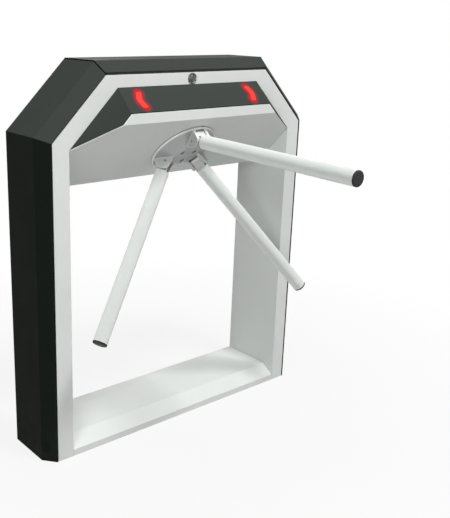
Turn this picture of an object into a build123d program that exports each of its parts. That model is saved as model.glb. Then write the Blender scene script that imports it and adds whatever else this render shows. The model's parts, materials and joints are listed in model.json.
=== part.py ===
from build123d import *
import os
from math import acos, cos, pi, radians, sin, sqrt, tan

# Tripod turnstile: a portal frame with bevelled corners, a sloping nose and a three-arm rotor.
# The rotor's axis leans forward at 45 degrees.
# Millimetres, +Z up, +X to the right seen from the front, the front faces -Y.
# The origin is on the floor, in the middle of the frame's footprint.

os.makedirs("parts", exist_ok=True)

# Portal frame, outside sizes
HEIGHT = 1042.0
RING_HALF_WIDTH = 436.0
DEPTH = 202.0
CORNER_RUN = 157.0
BEZEL = 50.0
BEZEL_TOP = 34.0
COVER_STEP = 29.0
BEVEL_DEPTH = 33.0
SHEET = 2.0
HEM = 14.0
SEAM = 3.0
RING_GAP = 3.0
RING_RETURN = 6.0
COVER_LIP = 2.0
LID_PROUD = 2.0
EDGE_GAP = 0.5
FLOOR_GAP = 1.0

# Sill
SILL_HEIGHT = 48.0
SILL_LIP = 19.0
SILL_BEVEL = 37.0
SILL_CHANNEL_WIDTH = 110.0
SILL_CHANNEL_WALL = 3.0

# Nose and underside
NOSE = 59.0
UNDERSIDE_REACH = 115.0
HOOD_FLANGE = 15.0

# Carrying frame
TUBE_SIDE = 50.0
TUBE_WALL = 3.0
UPRIGHT_RISE = 12.0
FOOT_LENGTH = 150.0
FOOT_WIDTH = 66.0
FOOT_THICKNESS = 8.0
ANCHOR_HOLE = 14.0
ANCHOR_SPACING = 110.0
CABLE_HOLE = 30.0
CHANNEL_LENGTH = 560.0
CHANNEL_HALF_WIDTH = 80.0
CHANNEL_LOW = 100.0
CHANNEL_EAR = 30.0
CHANNEL_FLANGE = 34.0
CHANNEL_WALL = 4.0
END_PLATE = 8.0
END_PLATE_DEPTH = 60.0
BOLT = 8.0
BOLT_HEAD = 13.0
BOLT_HEAD_HEIGHT = 5.5
BOLT_FIT = 0.25

# Rotor, hub and arms
HUB_SETBACK = 32.0
HUB_RADIUS = 96.0
HUB_CLEARANCE = 1.5
HUB_RIM = 5.0
HUB_RIM_WIDTH = 4.0
HUB_EDGE = 3.0
HUB_BOSS_RADIUS = 38.0
HUB_BOSS_HEIGHT = 24.5
HUB_BOLT_CIRCLE = 25.0
SOCKET_HEAD = 13.0
SOCKET_DEPTH = 13.0
SOCKET_KEY = 6.0
SOCKET_FIT = 1.0
ARM_COUNT = 3
ARM_CONE = 43.5
ARM_LENGTH = 530.0
ARM_TUBE = 38.0
ARM_WALL = 1.5
ARM_START = 26.5
PIN_RADIUS_OUT = 64.5
PIN_HEIGHT = 24.0
PIN = 8.0
RUNNING_FIT = 0.05
TONGUE_WIDTH = 26.0
TONGUE_BOSS = 16.0
TONGUE_HEIGHT = 20.0
TONGUE_RISE = 7.0
STOP_REACH = 23.5
STOP_DROP = 14.0
PIN_RECESS = 3.0
FORK_GAP = 30.0
FORK_PLAY = 0.3
EAR = 8.0
EAR_FOOT = 90.0
EAR_SHOULDER = 36.0
EAR_CROWN = 70.0
EAR_TOP = 47.0
EAR_ROUND = 13.0
POCKET_GAP = 1.0
CAP_HEAD = 5.0
CAP_PLUG = 18.0
SPIGOT = 45.0
SLIP_FIT = 0.1

# Drive train behind the hub
SHAFT = 25.0
SHAFT_FLANGE = 90.0
SHAFT_FLANGE_THICKNESS = 6.0
ROTOR_HOLE = 110.0
BEARING_OUTER = 52.0
BEARING_WIDTH = 15.0
BEARING_INNER_RING = 33.0
BEARING_SHIELD_GAP = 0.3
HOUSING_WALL = 9.0
HOUSING_FLANGE = 140.0
HOUSING_FLANGE_THICKNESS = 10.0
HOUSING_LENGTH = 60.0
HOUSING_LIP = 3.0
GEAR_PLATE_LENGTH = 350.0
GEAR_PLATE_WIDTH = 200.0
GEAR_PLATE_THICKNESS = 5.0
PILLAR = 14.0
LAYER_GAP = 3.0
INDEX_DISC = 110.0
INDEX_THICKNESS = 8.0
NOTCH_COUNT = 6
NOTCH_WIDTH = 21.0
NOTCH_DEPTH = 10.0
GEAR_MODULE = 2.5
MAIN_TEETH = 48
PINION_TEETH = 16
PINION_SHAFT = 8.0
GEAR_WIDTH = 10.0
GEAR_BACKLASH = 0.35
PRESSURE_ANGLE = 20.0
NUT = 40.0
NUT_THICKNESS = 9.0
MOTOR = 30.0
MOTOR_LENGTH = 42.0
DAMPER_BODY = 40.0
DAMPER_HEIGHT = 11.0
SENSOR = 12.0
SENSOR_GAP = 1.5

# Locking pawls and solenoids
PAWL_ANGLE = 30.0
PAWL_CLEARANCE = 2.5
PAWL_SHANK = 8.5
PAWL_LEVER = 42.0
PAWL_TAIL = 32.0
PAWL_BAR = 8.0
PAWL_NOSE = 11.0
PAWL_PIN = 8.0
PAWL_PIN_HEAD = 13.0
TAIL_PIN = 5.0
TAIL_PIN_LENGTH = 12.0
SOLENOID_SIDE = 30.0
SOLENOID_LENGTH = 48.0
SOLENOID_REACH = 26.0
PLUNGER = 11.0
PLUNGER_RISE = 7.0
PLUNGER_EYE = 13.0
PLUNGER_EYE_THICKNESS = 8.0
EYE_PLAY = 0.4
EYE_SLOT = 8.0

# Indicators, lock, lid fittings and electronics
LENS_INSET = 54.0
LENS_BAR = 16.5
LENS_BEND = 9.0
LENS_HALF_LENGTH = 25.0
LENS_CURVE = 18.0
LENS_ROUND = 3.0
LENS_FLANGE = 3.0
LENS_PROUD = 0.8
LED_BOARD = 1.6
LOCK_FACE = 29.0
LOCK_FACE_THICKNESS = 3.0
LOCK_BARREL = 19.0
LOCK_LENGTH = 22.0
LOCK_PLUG = 13.0
LOCK_CAM_LENGTH = 24.0
LOCK_CAM_WIDTH = 8.0
LOCK_CAM_THICKNESS = 3.0
KEEPER_WIDTH = 16.0
KEEPER_SHEET = 3.0
KEEPER_FLANGE = 20.0
KEEPER_SIDE = 12.0
KEEPER_GAP = 2.5
HINGE_LENGTH = 80.0
HINGE_KNUCKLE = 8.0
HINGE_PIN = 4.0
HINGE_LEAF = 24.0
HINGE_SPREAD = 180.0
BOARD_LENGTH = 170.0
BOARD_WIDTH = 110.0
BOARD_THICKNESS = 1.6
STANDOFF = 8.0

# Values worked out from the driving sizes
HALF_TURN = tan(radians(22.5))
front = -DEPTH / 2
back = DEPTH / 2
ring_top = HEIGHT - COVER_STEP - LID_PROUD
ring_corner_z = ring_top - CORNER_RUN
ring_corner_x = RING_HALF_WIDTH - CORNER_RUN
inner_half = RING_HALF_WIDTH - BEZEL
inner_corner_z = ring_corner_z - BEZEL * HALF_TURN
inner_top = ring_top - BEZEL_TOP
inner_corner_x = RING_HALF_WIDTH + ring_corner_z - BEZEL * sqrt(2) - inner_top
underside_back = front + UNDERSIDE_REACH
underside_low = inner_corner_z - UNDERSIDE_REACH
nose_front = front - NOSE
nose_top = inner_top - NOSE
nose_low = inner_corner_z + NOSE
upright_x = inner_half + SHEET + TUBE_SIDE / 2
foot_x = inner_half + SHEET + FOOT_WIDTH / 2
header_bolt_y = -CHANNEL_LOW * 0.7
header_bolt_levels = (-END_PLATE_DEPTH * 0.35, -END_PLATE_DEPTH * 0.8)

# The hub plane lies on the underside panel: its z axis is the rotor's axis, pointing out and down.
HUB = Plane(
    origin=(0, front + HUB_SETBACK, inner_corner_z - HUB_SETBACK),
    x_dir=(1, 0, 0),
    z_dir=(0, -1, -1),
)
HUB_SECTION = Plane(origin=HUB.origin, x_dir=HUB.x_dir, z_dir=-HUB.y_dir)
HUB_AXIS = Axis(HUB.origin, HUB.z_dir)


def write(builder, label):
    """Label a finished piece and write it."""
    builder.part.label = label
    export_step(builder.part, f"parts/{label}.step")


def corner_plane(side, shift):
    """The plane that halves a top corner of the portal, moved outwards by shift."""
    plane = Plane(
        origin=(side * ring_corner_x, 0, ring_top),
        z_dir=(side * cos(pi / 8), 0, -sin(pi / 8)),
    )
    return plane.offset(shift)


def cheek_plane(side, shift):
    """The plane of a nose cheek, moved outwards by shift."""
    plane = Plane(origin=(side * inner_corner_x, front, inner_top), z_dir=(side, -1, 1))
    return plane.offset(shift)


# Uprights: square tubes in the legs, welded to foot plates with two anchor holes each
def upright(side):
    with BuildPart() as piece:
        with BuildSketch(Plane.XY):
            with Locations((side * foot_x, 0)):
                Rectangle(FOOT_WIDTH, FOOT_LENGTH)
            with Locations((side * foot_x, -ANCHOR_SPACING / 2), (side * foot_x, ANCHOR_SPACING / 2)):
                Circle(ANCHOR_HOLE / 2, mode=Mode.SUBTRACT)
            with Locations((side * upright_x, 0)):
                Circle(CABLE_HOLE / 2, mode=Mode.SUBTRACT)
        extrude(amount=FOOT_THICKNESS)
        with BuildSketch(Plane.XY.offset(FOOT_THICKNESS)):
            with Locations((side * upright_x, 0)):
                Rectangle(TUBE_SIDE, TUBE_SIDE)
                Rectangle(TUBE_SIDE - 2 * TUBE_WALL, TUBE_SIDE - 2 * TUBE_WALL, mode=Mode.SUBTRACT)
        extrude(amount=inner_corner_z + UPRIGHT_RISE - FOOT_THICKNESS)
        # Holes in the inner wall for the header's bolts
        with BuildSketch(Plane.YZ.offset(side * inner_half)):
            for level in header_bolt_levels:
                hole = HUB.from_local_coords(Vector(0, header_bolt_y, level))
                with Locations((hole.Y, hole.Z)):
                    Circle(BOLT / 2 + BOLT_FIT)
        extrude(amount=side * (SHEET + TUBE_WALL), mode=Mode.SUBTRACT)
    return piece


upright_left = upright(-1)
write(upright_left, "upright_left")
upright_right = upright(1)
write(upright_right, "upright_right")

# Cable grommet in the left foot plate, below the tube
with BuildPart() as cable_grommet:
    with BuildSketch(Plane.XY):
        with Locations((-upright_x, 0)):
            Circle(CABLE_HOLE / 2 - SLIP_FIT)
            Circle(CABLE_HOLE / 2 - 2 * SHEET, mode=Mode.SUBTRACT)
    extrude(amount=FOOT_THICKNESS)
    with BuildSketch(Plane.XY.offset(FOOT_THICKNESS)):
        with Locations((-upright_x, 0)):
            Circle(CABLE_HOLE / 2 + SHEET)
            Circle(CABLE_HOLE / 2 - 2 * SHEET, mode=Mode.SUBTRACT)
    extrude(amount=SHEET)
write(cable_grommet, "cable_grommet")

# Sill channel on the floor between the legs, and the sill cover over it
with BuildPart() as sill_channel:
    with BuildSketch(Plane.YZ):
        with BuildLine():
            Polyline(
                (-SILL_CHANNEL_WIDTH / 2, 0),
                (-SILL_CHANNEL_WIDTH / 2, SILL_HEIGHT - SHEET),
                (SILL_CHANNEL_WIDTH / 2, SILL_HEIGHT - SHEET),
                (SILL_CHANNEL_WIDTH / 2, 0),
                (SILL_CHANNEL_WIDTH / 2 - SILL_CHANNEL_WALL, 0),
                (SILL_CHANNEL_WIDTH / 2 - SILL_CHANNEL_WALL, SILL_HEIGHT - SHEET - SILL_CHANNEL_WALL),
                (SILL_CHANNEL_WALL - SILL_CHANNEL_WIDTH / 2, SILL_HEIGHT - SHEET - SILL_CHANNEL_WALL),
                (SILL_CHANNEL_WALL - SILL_CHANNEL_WIDTH / 2, 0),
                close=True,
            )
        make_face()
    extrude(amount=inner_half, both=True)
write(sill_channel, "sill_channel")

with BuildPart() as sill_cover:
    with BuildSketch(Plane.YZ):
        with BuildLine():
            Polyline(
                (front, FLOOR_GAP),
                (front, SILL_LIP),
                (front + SILL_BEVEL, SILL_HEIGHT),
                (back, SILL_HEIGHT),
                (back, FLOOR_GAP),
                (back - SHEET, FLOOR_GAP),
                (back - SHEET, SILL_HEIGHT - SHEET),
                (front + SILL_BEVEL + SHEET * HALF_TURN, SILL_HEIGHT - SHEET),
                (front + SHEET, SILL_LIP - SHEET * HALF_TURN),
                (front + SHEET, FLOOR_GAP),
                close=True,
            )
        make_face()
    extrude(amount=inner_half - EDGE_GAP, both=True)
write(sill_cover, "sill_cover")


# Ring panels: one sheet round the portal at the front, one at the back
def ring_outline(inset):
    """Half of the ring's outer outline, from the right foot to the middle of the top, as (x, z) points."""
    return [
        (RING_HALF_WIDTH - inset, FLOOR_GAP),
        (RING_HALF_WIDTH - inset, ring_corner_z - inset * HALF_TURN),
        (ring_corner_x - inset * HALF_TURN, ring_top - inset),
    ]


def both_sides(points):
    """A list of (x, z) points on the right side, followed by their mirror images in reverse."""
    return points + [(-x, z) for x, z in reversed(points)]


RING_PLANE = Plane(origin=(0, front + SHEET, 0), x_dir=(1, 0, 0), z_dir=(0, -1, 0))
REAR_PLANE = Plane(origin=(0, back, 0), x_dir=(1, 0, 0), z_dir=(0, -1, 0))
panel_top = ring_top - RING_GAP
lock_z = (panel_top + inner_top) / 2


def ring_rim(plane, depth):
    """The outer edge of a ring panel, turned back against the hems of the covers."""
    with BuildPart() as rim:
        with BuildSketch(plane):
            with BuildLine():
                Polyline(*both_sides(ring_outline(RING_GAP)), close=True)
            make_face()
            with BuildLine():
                Polyline(*both_sides(ring_outline(RING_GAP + SHEET)), close=True)
            make_face(mode=Mode.SUBTRACT)
        extrude(amount=depth)
    return rim.part


front_rim = ring_rim(RING_PLANE, -RING_RETURN)
with BuildPart() as front_ring_panel:
    with BuildSketch(RING_PLANE):
        with BuildLine():
            Polyline(*both_sides(ring_outline(RING_GAP)), close=True)
        make_face()
        with BuildLine():
            Polyline(
                *both_sides([
                    (inner_half, 0),
                    (inner_half, inner_corner_z),
                    (inner_corner_x, inner_top),
                ]),
                close=True,
            )
        make_face(mode=Mode.SUBTRACT)
        with Locations((0, lock_z)):
            Circle(LOCK_BARREL / 2 + SLIP_FIT, mode=Mode.SUBTRACT)
    extrude(amount=SHEET)
    add(front_rim)
    # The top edge turns back further to carry the lid's seal.
    with BuildSketch(Plane.XY.offset(panel_top - SHEET)):
        with Locations((0, front + SHEET + HEM / 2)):
            Rectangle(2 * ring_corner_x - 2 * SEAM, HEM)
    extrude(amount=SHEET)
write(front_ring_panel, "front_ring_panel")

board_z = (ring_top + underside_low) / 2
rear_rim = ring_rim(REAR_PLANE.offset(SHEET), RING_RETURN)
with BuildPart() as rear_ring_panel:
    with BuildSketch(REAR_PLANE):
        with BuildLine():
            Polyline(*both_sides(ring_outline(RING_GAP)), close=True)
        make_face()
        with BuildLine():
            Polyline(*both_sides([(inner_half, 0), (inner_half, underside_low)]), close=True)
        make_face(mode=Mode.SUBTRACT)
    extrude(amount=SHEET)
    add(rear_rim)
    with BuildSketch(Plane.XY.offset(panel_top - SHEET)):
        with Locations((0, back - SHEET - HEM / 2)):
            Rectangle(2 * ring_corner_x - 2 * SEAM, HEM)
    extrude(amount=SHEET)
    # Pressed-in standoffs for the control board
    with BuildSketch(REAR_PLANE.offset(SHEET)):
        with Locations((0, board_z)):
            with GridLocations(BOARD_LENGTH - 4 * STANDOFF, BOARD_WIDTH - 2 * STANDOFF, 2, 2):
                Circle(STANDOFF / 2)
    extrude(amount=STANDOFF)
write(rear_ring_panel, "rear_ring_panel")

# Control board on the standoffs, with relays and terminal strips
with BuildPart() as control_board:
    with BuildSketch(REAR_PLANE.offset(SHEET + STANDOFF)):
        with Locations((0, board_z)):
            Rectangle(BOARD_LENGTH, BOARD_WIDTH)
    extrude(amount=BOARD_THICKNESS)
    with BuildSketch(REAR_PLANE.offset(SHEET + STANDOFF + BOARD_THICKNESS)):
        with Locations((0, board_z + BOARD_WIDTH / 2 - STANDOFF)):
            Rectangle(BOARD_LENGTH * 0.8, STANDOFF)
        with Locations((0, board_z - STANDOFF)):
            with GridLocations(2.5 * STANDOFF, 1, 4, 1):
                Rectangle(2 * STANDOFF, 3 * STANDOFF)
    extrude(amount=1.5 * STANDOFF)
write(control_board, "control_board")


# Leg liners: the inner faces of the legs, up to the underside panel
def leg_liner(side):
    with BuildPart() as piece:
        with BuildSketch(Plane.YZ.offset(side * inner_half)):
            with BuildLine():
                Polyline(
                    (front + SHEET, FLOOR_GAP),
                    (front + SHEET, inner_corner_z - SHEET),
                    (underside_back, underside_low),
                    (back - SHEET, underside_low),
                    (back - SHEET, FLOOR_GAP),
                    close=True,
                )
            make_face()
        extrude(amount=side * SHEET)
    return piece


leg_liner_left = leg_liner(-1)
write(leg_liner_left, "leg_liner_left")
leg_liner_right = leg_liner(1)
write(leg_liner_right, "leg_liner_right")


# Side covers: a bevelled section, a little proud of the ring panels, with hems behind them,
# swept up the leg and round the corner
bevel_low = front - COVER_LIP
hem_y = front + SHEET + RING_RETURN
crease = front + BEVEL_DEPTH

with BuildPart() as side_cover_right:
    with BuildSketch(Plane.XY.offset(FLOOR_GAP)):
        with BuildLine():
            Polyline(
                (RING_HALF_WIDTH - HEM, hem_y),
                (RING_HALF_WIDTH, hem_y),
                (RING_HALF_WIDTH, bevel_low),
                (RING_HALF_WIDTH + COVER_STEP, crease),
                (RING_HALF_WIDTH + COVER_STEP, -crease),
                (RING_HALF_WIDTH, -bevel_low),
                (RING_HALF_WIDTH, -hem_y),
                (RING_HALF_WIDTH - HEM, -hem_y),
            )
            offset(amount=SHEET, kind=Kind.INTERSECTION, side=Side.LEFT)
        make_face()
    with BuildLine() as leg_and_corner:
        Polyline(
            (RING_HALF_WIDTH, 0, FLOOR_GAP),
            (RING_HALF_WIDTH, 0, ring_corner_z),
            (ring_corner_x - COVER_STEP, 0, ring_top + COVER_STEP),
        )
    sweep(path=leg_and_corner.wires()[0], transition=Transition.RIGHT)
    split(bisect_by=corner_plane(1, SEAM / 2), keep=Keep.TOP)
write(side_cover_right, "side_cover_right")

with BuildPart() as side_cover_left:
    mirror(side_cover_right.part, about=Plane.YZ)
write(side_cover_left, "side_cover_left")

# Top lid: a pan with bevels and closed ends, lying on a seal, its top a little proud of the covers
lid_low = ring_top + SEAM
lid_slope = (crease - bevel_low) / (COVER_STEP + LID_PROUD)
lid_edge = bevel_low + SEAM * lid_slope


def lid_section(inset):
    """The lid's section filled down to its lower edge, moved in by inset, as (y, z) points."""
    shift = inset * (sqrt(1 + lid_slope**2) - lid_slope)
    edge = lid_edge + inset * sqrt(1 + lid_slope**2)
    right = [(-edge, lid_low), (-crease - shift, HEIGHT - inset)]
    return [(-y, z) for y, z in right] + list(reversed(right))


def lid_block(inset):
    """The filled lid, moved in by inset at the top, the bevels and the ends."""
    with BuildPart() as block:
        with BuildSketch(Plane.YZ):
            with BuildLine():
                Polyline(*lid_section(inset), close=True)
            make_face()
        extrude(amount=RING_HALF_WIDTH, both=True)
        for side in (-1, 1):
            split(bisect_by=corner_plane(side, -SEAM / 2 - inset), keep=Keep.BOTTOM)
    return block.part


lid_outside = lid_block(0)
lid_hollow = lid_block(SHEET)
with BuildPart() as top_lid:
    add(lid_outside)
    add(lid_hollow, mode=Mode.SUBTRACT)
write(top_lid, "top_lid")

# Lid seal: rubber strips on the turned-back edges of both ring panels
with BuildPart() as lid_seal:
    with BuildSketch(Plane.XY.offset(panel_top)):
        for y in (front + SHEET + HEM / 2, back - SHEET - HEM / 2):
            with Locations((0, y)):
                Rectangle(2 * ring_corner_x - 4 * SEAM, HEM - SHEET)
    extrude(amount=lid_low - panel_top)
write(lid_seal, "lid_seal")

# Lid hinges on the back: frame leaf with two knuckles, lid leaf with the middle knuckle, and a pin
hinge_y = back + HINGE_KNUCKLE / 2 + EDGE_GAP
hinge_z = ring_top + SEAM / 2
knuckle_third = HINGE_LENGTH / 3


def hinge_piece(points, start, length):
    """A piece of hinge along X: a leaf with its (y, z) outline, joined to its knuckle."""
    with BuildPart() as piece:
        with BuildSketch(Plane.YZ.offset(start)):
            with BuildLine():
                Polyline(*points, close=True)
            make_face()
            with Locations((hinge_y, hinge_z)):
                Circle(HINGE_KNUCKLE / 2)
                Circle(HINGE_PIN / 2 + RUNNING_FIT, mode=Mode.SUBTRACT)
        extrude(amount=length)
    return piece.part


frame_leaf = [
    (back, hinge_z - HINGE_LEAF),
    (back + SHEET, hinge_z - HINGE_LEAF),
    (back + SHEET, hinge_z),
    (back, hinge_z - SEAM),
]
bevel_run = HINGE_LEAF / sqrt(1 + lid_slope**2)
leaf_rise = SHEET / sqrt(1 + lid_slope**2) * lid_slope
leaf_out = SHEET / sqrt(1 + lid_slope**2)
lid_leaf = [
    (-lid_edge, lid_low),
    (-lid_edge - bevel_run * lid_slope, lid_low + bevel_run),
    (-lid_edge - bevel_run * lid_slope + leaf_out, lid_low + bevel_run + leaf_rise),
    (hinge_y, hinge_z + HINGE_KNUCKLE / 2),
    (hinge_y, lid_low),
]

leaf_low = hinge_z - HINGE_KNUCKLE
with BuildPart() as lid_hinge_frame_leaves:
    for side in (-1, 1):
        start = side * HINGE_SPREAD - HINGE_LENGTH / 2
        for shift in (0, 2 * knuckle_third):
            add(hinge_piece(frame_leaf, start + shift + EDGE_GAP, knuckle_third - 2 * EDGE_GAP))
        with BuildSketch(Plane.XZ.offset(-back)):
            with Locations((side * HINGE_SPREAD, (leaf_low + hinge_z - HINGE_LEAF) / 2)):
                Rectangle(HINGE_LENGTH - 2 * EDGE_GAP, HINGE_LEAF - HINGE_KNUCKLE)
        extrude(amount=-SHEET)
write(lid_hinge_frame_leaves, "lid_hinge_frame_leaves")

with BuildPart() as lid_hinge_lid_leaves:
    for side in (-1, 1):
        add(hinge_piece(lid_leaf, side * HINGE_SPREAD - knuckle_third / 2, knuckle_third))
write(lid_hinge_lid_leaves, "lid_hinge_lid_leaves")

with BuildPart() as lid_hinge_pins:
    for side in (-1, 1):
        with BuildSketch(Plane.YZ.offset(side * HINGE_SPREAD - HINGE_LENGTH / 2)):
            with Locations((hinge_y, hinge_z)):
                Circle(HINGE_PIN / 2)
        extrude(amount=HINGE_LENGTH)
write(lid_hinge_pins, "lid_hinge_pins")

# Underside panel: front strip, 45 degree underside and bottom in one bent sheet, with the rotor's opening
with BuildPart() as underside_panel:
    with BuildSketch(Plane.YZ):
        with BuildLine():
            Polyline(
                (nose_front, nose_top),
                (nose_front, nose_low),
                (underside_back, underside_low),
                (back - SHEET, underside_low),
            )
            offset(amount=SHEET, kind=Kind.INTERSECTION, side=Side.LEFT)
        make_face()
    extrude(amount=inner_half - EDGE_GAP, both=True)
    for side in (-1, 1):
        split(bisect_by=cheek_plane(side, EDGE_GAP - SHEET), keep=Keep.BOTTOM)
    with BuildSketch(HUB.offset(-2 * SHEET)):
        Circle(ROTOR_HOLE / 2)
    extrude(amount=4 * SHEET, mode=Mode.SUBTRACT)
write(underside_panel, "underside_panel")

# Nose hood: the sloping top and the two cheeks, with a flange behind the ring and slots for the indicators
HOOD = Plane(origin=(0, front, inner_top), x_dir=(1, 0, 0), z_dir=(0, -1, 1))
hood_middle = -NOSE * sqrt(2) / 2
lens_centre = inner_corner_x - LENS_INSET
underside_skin = SHEET * sqrt(2)


def nose_block(inset, front_end, back_end, low):
    """The space below the hood's top, moved in by inset, above the line y + z = low."""
    with BuildPart() as block:
        drop = inset * sqrt(2)
        with BuildSketch(Plane.YZ):
            with BuildLine():
                Polyline(
                    (back_end, low - back_end),
                    (back_end, inner_top - front + back_end - drop),
                    (front_end, inner_top - front + front_end - drop),
                    (front_end, low - front_end),
                    close=True,
                )
            make_face()
        extrude(amount=inner_half, both=True)
        for side in (-1, 1):
            split(bisect_by=cheek_plane(side, -inset), keep=Keep.BOTTOM)
    return block.part


def lens_outline(side, grow):
    """Corners of a bent indicator bar on the hood, pointing outwards, grown all round."""
    half = LENS_BAR / 2 + grow
    end = LENS_HALF_LENGTH + grow
    right = [
        (lens_centre - half, hood_middle + end),
        (lens_centre + half, hood_middle + end),
        (lens_centre + half + LENS_BEND, hood_middle),
        (lens_centre + half, hood_middle - end),
        (lens_centre - half, hood_middle - end),
        (lens_centre - half + LENS_BEND, hood_middle),
    ]
    return [(side * x, y) for x, y in right]


hood_low = inner_corner_z + front + underside_skin
hood_outside = nose_block(0, nose_front + SHEET, front, hood_low)
hood_inside = nose_block(SHEET, nose_front - SHEET, front + SHEET, hood_low - NOSE)
with BuildPart() as nose_hood:
    add(hood_outside)
    add(hood_inside, mode=Mode.SUBTRACT)
    with BuildSketch(Plane.YZ):
        with BuildLine():
            Polyline(
                (front - SHEET, inner_top - EDGE_GAP - SHEET),
                (front + SHEET, inner_top - EDGE_GAP - SHEET),
                (front + 2 * SHEET, inner_top - EDGE_GAP - SHEET),
                (front + 2 * SHEET, inner_top + HOOD_FLANGE),
                (front + SHEET, inner_top + HOOD_FLANGE),
                (front + SHEET, inner_top - EDGE_GAP),
                (front - SHEET, inner_top - EDGE_GAP - SHEET + EDGE_GAP),
                close=True,
            )
        make_face()
    extrude(amount=lens_centre, both=True)
    with BuildSketch(RING_PLANE):
        with Locations((0, lock_z)):
            Circle(LOCK_BARREL / 2 + EDGE_GAP)
    extrude(amount=-2 * SHEET, mode=Mode.SUBTRACT)
    with BuildSketch(HOOD.offset(-2 * SHEET)) as slots:
        for side in (-1, 1):
            with BuildLine():
                Polyline(*lens_outline(side, SLIP_FIT), close=True)
            make_face()
        fillet(slots.vertices().group_by(Axis.Y)[1], LENS_CURVE)
        slot_rows = slots.vertices().group_by(Axis.Y)
        fillet(slot_rows[0] + slot_rows[-1], LENS_ROUND + SLIP_FIT)
    extrude(amount=4 * SHEET, mode=Mode.SUBTRACT)
write(nose_hood, "nose_hood")


# Indicator lenses: bars that fill the slots, with a flange behind the hood
def indicator_lens(side):
    with BuildPart() as piece:
        with BuildSketch(HOOD.offset(-SHEET)) as bar:
            with BuildLine():
                Polyline(*lens_outline(side, 0), close=True)
            make_face()
            fillet(bar.vertices().group_by(Axis.Y)[1], LENS_CURVE)
            rows = bar.vertices().group_by(Axis.Y)
            fillet(rows[0] + rows[-1], LENS_ROUND)
        extrude(amount=SHEET + LENS_PROUD)
        with BuildSketch(HOOD.offset(-2 * SHEET)):
            with BuildLine():
                Polyline(*lens_outline(side, LENS_FLANGE), close=True)
            make_face()
        extrude(amount=SHEET)
    return piece


indicator_lens_left = indicator_lens(-1)
write(indicator_lens_left, "indicator_lens_left")
indicator_lens_right = indicator_lens(1)
write(indicator_lens_right, "indicator_lens_right")

# Indicator boards: light boards behind the lenses
with BuildPart() as indicator_boards:
    with BuildSketch(HOOD.offset(-2 * SHEET - LED_BOARD)):
        for side in (-1, 1):
            with Locations((side * (lens_centre + LENS_BEND / 2), hood_middle)):
                Rectangle(2 * LENS_BAR, 2 * LENS_HALF_LENGTH)
    extrude(amount=LED_BOARD)
write(indicator_boards, "indicator_boards")

# Levels along the rotor's axis, counted outwards from the underside panel's outer face
channel_face = -SHEET - CHANNEL_WALL
housing_back = channel_face - HOUSING_LENGTH
plate_back = housing_back - GEAR_PLATE_THICKNESS
index_front = plate_back - LAYER_GAP
index_back = index_front - INDEX_THICKNESS
gear_front = index_back - LAYER_GAP
gear_back = gear_front - GEAR_WIDTH
nut_front = gear_back
shaft_end = nut_front - NUT_THICKNESS - SHEET
front_bearing = channel_face - HOUSING_LIP
rear_bearing = housing_back + BEARING_WIDTH

# Header channel: a wide bent plate behind the underside panel, with ears that reach the welded end plates
end_plate_x = inner_half + SHEET - END_PLATE
pillar_x = GEAR_PLATE_LENGTH / 2 - PILLAR
pillar_y = CHANNEL_HALF_WIDTH - 2 * PILLAR
housing_bolt_circle = (HOUSING_FLANGE + ROTOR_HOLE) / 4 + BOLT / 4

with BuildPart() as header_channel:
    with BuildSketch(HUB.offset(channel_face)):
        Rectangle(CHANNEL_LENGTH, 2 * CHANNEL_HALF_WIDTH)
        with Locations((0, (CHANNEL_EAR - CHANNEL_LOW) / 2)):
            Rectangle(2 * end_plate_x, CHANNEL_EAR + CHANNEL_LOW)
        Circle(ROTOR_HOLE / 2, mode=Mode.SUBTRACT)
        with PolarLocations(housing_bolt_circle, 4, start_angle=45):
            Circle(BOLT / 2 + BOLT_FIT, mode=Mode.SUBTRACT)
    extrude(amount=CHANNEL_WALL)
    with BuildSketch(HUB.offset(channel_face)):
        with Locations((0, CHANNEL_HALF_WIDTH - CHANNEL_WALL / 2)):
            Rectangle(CHANNEL_LENGTH, CHANNEL_WALL)
        with Locations((0, CHANNEL_WALL / 2 - CHANNEL_LOW)):
            Rectangle(2 * end_plate_x, CHANNEL_WALL)
    extrude(amount=-CHANNEL_FLANGE)
    with BuildSketch(HUB.offset(-SHEET)):
        for side in (-1, 1):
            with Locations((side * (end_plate_x + END_PLATE / 2), (CHANNEL_EAR - CHANNEL_LOW) / 2)):
                Rectangle(END_PLATE, CHANNEL_EAR + CHANNEL_LOW)
    extrude(amount=-END_PLATE_DEPTH)
    for level in header_bolt_levels:
        hole = HUB.from_local_coords(Vector(0, header_bolt_y, level))
        with BuildSketch(Plane.YZ.offset(-inner_half - END_PLATE)):
            with Locations((hole.Y, hole.Z)):
                Circle(BOLT / 2 + BOLT_FIT)
        extrude(amount=2 * (inner_half + END_PLATE), mode=Mode.SUBTRACT)
write(header_channel, "header_channel")


# Chassis bolts: hexagon bolts through the end plates into the uprights, and through the bearing housing
def hex_bolt(plane, length):
    """A hexagon bolt whose head stands on the plane, with its shank below it."""
    with BuildPart() as bolt:
        with BuildSketch(plane):
            RegularPolygon(BOLT_HEAD / 2, 6, major_radius=False)
        extrude(amount=BOLT_HEAD_HEIGHT)
        with BuildSketch(plane):
            Circle(BOLT / 2)
        extrude(amount=-length)
    return bolt.part


housing_face = channel_face - HOUSING_FLANGE_THICKNESS
header_bolt_length = END_PLATE + TUBE_WALL + BOLT
with BuildPart() as chassis_bolts:
    for side in (-1, 1):
        for level in header_bolt_levels:
            hole = HUB.from_local_coords(Vector(side * end_plate_x, header_bolt_y, level))
            add(hex_bolt(Plane(origin=hole, z_dir=(-side, 0, 0)), header_bolt_length))
    for angle in range(45, 360, 90):
        seat = HUB.from_local_coords(
            Vector(
                housing_bolt_circle * cos(radians(angle)),
                housing_bolt_circle * sin(radians(angle)),
                housing_face,
            )
        )
        add(hex_bolt(Plane(origin=seat, z_dir=-HUB.z_dir), HOUSING_FLANGE_THICKNESS + CHANNEL_WALL))
write(chassis_bolts, "chassis_bolts")

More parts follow.
